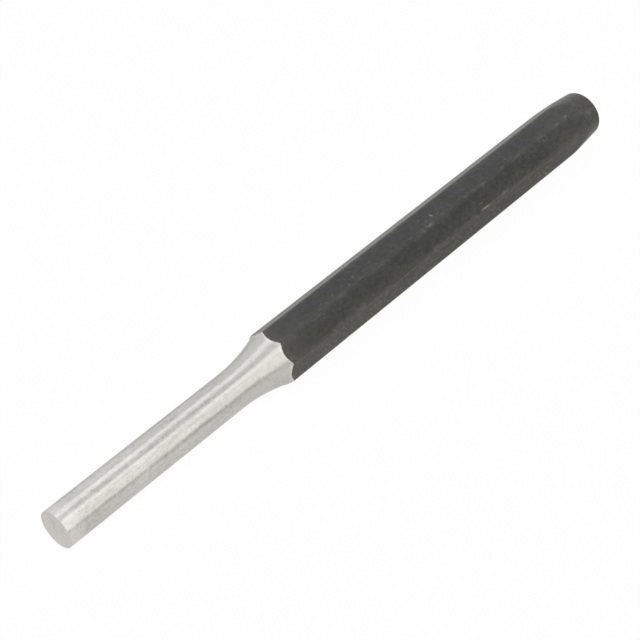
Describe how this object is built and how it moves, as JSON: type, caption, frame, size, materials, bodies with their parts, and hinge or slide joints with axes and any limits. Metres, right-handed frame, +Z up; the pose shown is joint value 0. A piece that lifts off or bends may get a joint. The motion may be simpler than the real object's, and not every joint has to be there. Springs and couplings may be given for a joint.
{
  "type": "pin punch",
  "caption": "A ground round pin flares into a black octagonal shank with a tapered head, struck with a hammer to drive pins out of their holes.",
  "frame": {"origin": "on the surface that the punch lies on, under the middle of its length", "axes": "+X along the punch from the tip to the struck head, +Z up from the flat that it lies on"},
  "size_m": [0.158, 0.0116, 0.0115],
  "materials": {
    "ground_steel": "fine ground, satin",
    "black_finish": "satin black, lightly scuffed"
  },
  "bodies": {
    "root": {"steel_bar": "ground_steel", "black_finish": "black_finish"}
  },
  "joints": []
}
